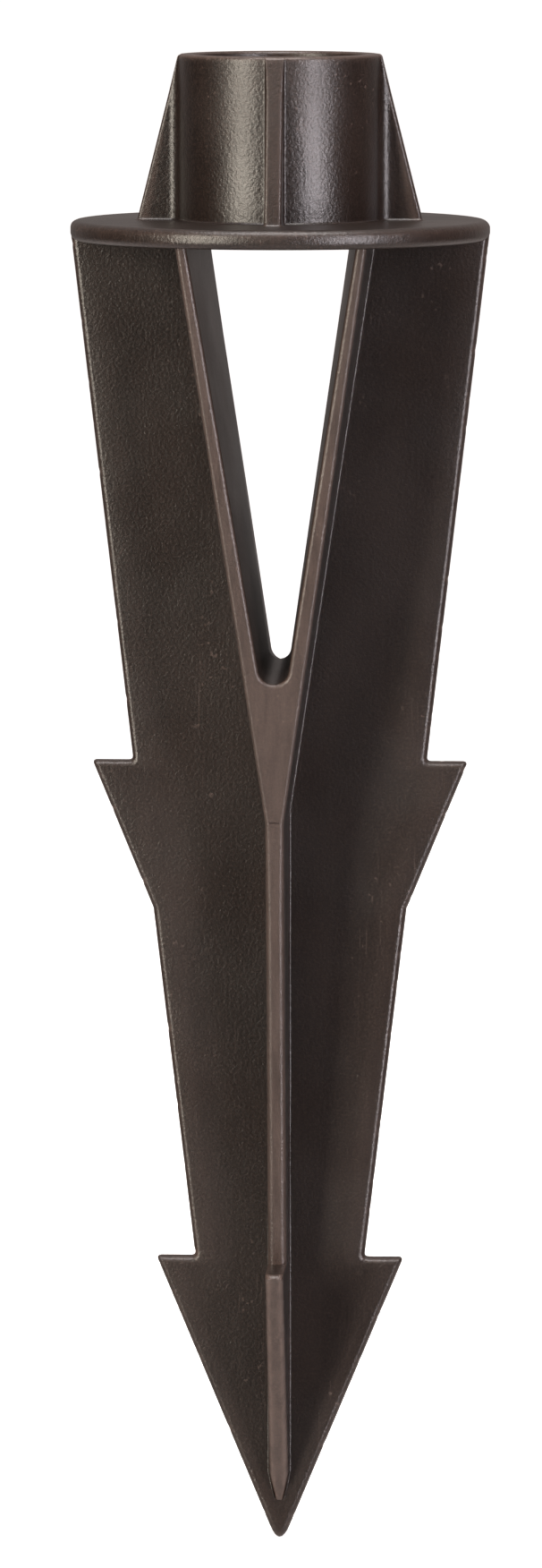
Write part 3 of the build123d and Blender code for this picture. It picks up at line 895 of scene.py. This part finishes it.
def studio_floor(settings):
    """A plain pale floor at the tip's height: one square, which only the camera and diffuse light see."""
    reach = settings.floor_reach
    corners = [(-reach, -reach, TIP_Z), (reach, -reach, TIP_Z), (reach, reach, TIP_Z), (-reach, reach, TIP_Z)]
    mesh = bpy.data.meshes.new("studio_floor")
    mesh.from_pydata(corners, [], [(0, 1, 2, 3)])
    floor = bpy.data.objects.new("studio_floor", mesh)
    bpy.context.scene.collection.objects.link(floor)
    floor.visible_glossy = False
    material = bpy.data.materials.new("pale_floor")
    material.use_nodes = True
    shader = material.node_tree.nodes["Principled BSDF"]
    shader.inputs["Base Color"].default_value = (*settings.floor_colour, 1.0)
    shader.inputs["Roughness"].default_value = 0.9
    shader.inputs["Specular IOR Level"].default_value = 0.0
    shader.inputs["Emission Color"].default_value = (1.0, 1.0, 1.0, 1.0)
    shader.inputs["Emission Strength"].default_value = 0.75
    mesh.materials.append(material)


# ---- operators ----
class STAKE_OT_plastic(bpy.types.Operator):
    """Gives every CAD node that stays visible the moulded plastic"""

    bl_idname = "stake.plastic"
    bl_label = "Moulded Plastic"

    def execute(self, context):
        groups = {"grain": grain_group(), "scuffs": scuff_group(), "front_sheen": painted_front_sheen_group()}
        skin = plastic_material(CLEAN_SKIN, groups)
        plastic_material(WORN_SKIN, groups, RUB_AND_SHEEN)
        for cad_node in NODES.values():
            cad_node.data.materials.clear()
            cad_node.data.materials.append(skin)
        return {"FINISHED"}


class STAKE_OT_blade(bpy.types.Operator):
    """Makes the wide barbed blade as one plate with a worn, rounded edge and a parting ridge"""

    bl_idname = "stake.blade"
    bl_label = "Barbed Blade"

    def execute(self, context):
        points, rub = blade_surface(context.scene.stake_shape)
        features = ("upper_fin", "upper_barb", "middle_fin", "lower_barb")
        replaced = [f"{feature}_{side}" for feature in features for side in ("left", "right")]
        replaced.append("stake_tip")
        caps = ("first_column", "last_column")
        moulded_piece("barbed_blade", points, rub, replaced, wrap_rows=True, caps=caps)
        return {"FINISHED"}


class STAKE_OT_keels(bpy.types.Operator):
    """Makes the front and rear keels with their coves, rounded edges and barbs"""

    bl_idname = "stake.keels"
    bl_label = "Front and Rear Keels"

    def execute(self, context):
        for side, facing in (("front", -1), ("rear", 1)):
            points, rub = keel_surface(context.scene.stake_shape, facing)
            replaced = (f"{side}_keel", f"{side}_barb")
            name, caps = f"{side}_keel_and_barb", ("first_row", "last_row")
            moulded_piece(name, points, rub, replaced, wrap_columns=True, caps=caps)
        return {"FINISHED"}


class STAKE_OT_flange(bpy.types.Operator):
    """Makes the round soil flange with its soft edge"""

    bl_idname = "stake.flange"
    bl_label = "Soil Flange"

    def execute(self, context):
        points, rub = flange_surface(context.scene.stake_shape)
        moulded_piece("round_soil_flange", points, rub, ["soil_flange"], wrap_columns=True)
        return {"FINISHED"}


class STAKE_OT_socket(bpy.types.Operator):
    """Makes the pole socket with its four gussets as one moulded wall"""

    bl_idname = "stake.socket"
    bl_label = "Pole Socket and Gussets"

    def execute(self, context):
        points, rub = socket_surface(context.scene.stake_shape)
        replaced = ["pole_socket"] + [f"socket_gusset_{side}" for side in ("front", "rear", "left", "right")]
        moulded_piece("gusseted_pole_socket", points, rub, replaced, wrap_rows=True, wrap_columns=True)
        return {"FINISHED"}


class STAKE_OT_studio(bpy.types.Operator):
    """Adds the pale floor, the surroundings, the soft boxes and the camera"""

    bl_idname = "stake.studio"
    bl_label = "Studio and Camera"

    def execute(self, context):
        settings = context.scene.stake_studio
        studio_world()
        studio_floor(settings)
        degree = math.radians(1.0)
        soft_box("warm_strip", -40 * degree, 2 * degree, 1.5, (0.29, 1.3), 44.0, (1.0, 0.91, 0.78))
        soft_box("cool_strip", 43 * degree, 2 * degree, 1.5, (0.33, 1.3), 31.0, (0.98, 0.92, 0.96))
        soft_box("ceiling_box", 0.0, 72 * degree, 1.2, (0.9, 0.7), 20.0, (1.0, 0.95, 0.93))
        self.add_camera(context.scene, settings)
        context.scene.view_settings.view_transform = "Standard"
        return {"FINISHED"}

    def add_camera(self, scene, settings):
        lens = bpy.data.cameras.new("stake_camera")
        lens.sensor_fit = "VERTICAL"
        lens.sensor_height = 24.0
        lens.lens = settings.lens
        lens.clip_end = 100.0
        camera = bpy.data.objects.new("stake_camera", lens)
        turn = settings.camera_turn
        reach = settings.camera_reach
        camera.location = (reach * math.sin(turn), -reach * math.cos(turn), RIM_Z + settings.camera_rise)
        camera.rotation_euler = (math.pi / 2 - settings.camera_pitch, 0.0, turn + settings.camera_swing)
        scene.collection.objects.link(camera)
        scene.camera = camera


class STAKE_PT_panel(bpy.types.Panel):
    """Lists the stake's operators and settings"""

    bl_label = "Ground Stake"
    bl_idname = "STAKE_PT_panel"
    bl_space_type = "VIEW_3D"
    bl_region_type = "UI"
    bl_category = "Stake"

    def draw(self, context):
        for operator in OPERATORS:
            self.layout.operator(operator.bl_idname)
        scene = context.scene
        for group in (scene.stake_plastic, scene.stake_shape, scene.stake_studio):
            column = self.layout.column()
            for name in group.__annotations__:
                column.prop(group, name)


OPERATORS = (
    STAKE_OT_plastic, STAKE_OT_blade, STAKE_OT_keels, STAKE_OT_flange, STAKE_OT_socket, STAKE_OT_studio,
)
CLASSES = (StakePlastic, StakeShape, StakeStudio, *OPERATORS, STAKE_PT_panel)


def register():
    for one in CLASSES:
        bpy.utils.register_class(one)
    bpy.types.Scene.stake_plastic = PointerProperty(type=StakePlastic)
    bpy.types.Scene.stake_shape = PointerProperty(type=StakeShape)
    bpy.types.Scene.stake_studio = PointerProperty(type=StakeStudio)


def unregister():
    del bpy.types.Scene.stake_studio
    del bpy.types.Scene.stake_shape
    del bpy.types.Scene.stake_plastic
    for one in reversed(CLASSES):
        bpy.utils.unregister_class(one)


def main():
    register()
    bpy.ops.stake.plastic()
    bpy.ops.stake.blade()
    bpy.ops.stake.keels()
    bpy.ops.stake.flange()
    bpy.ops.stake.socket()
    bpy.ops.stake.studio()


if __name__ == "__main__":
    main()
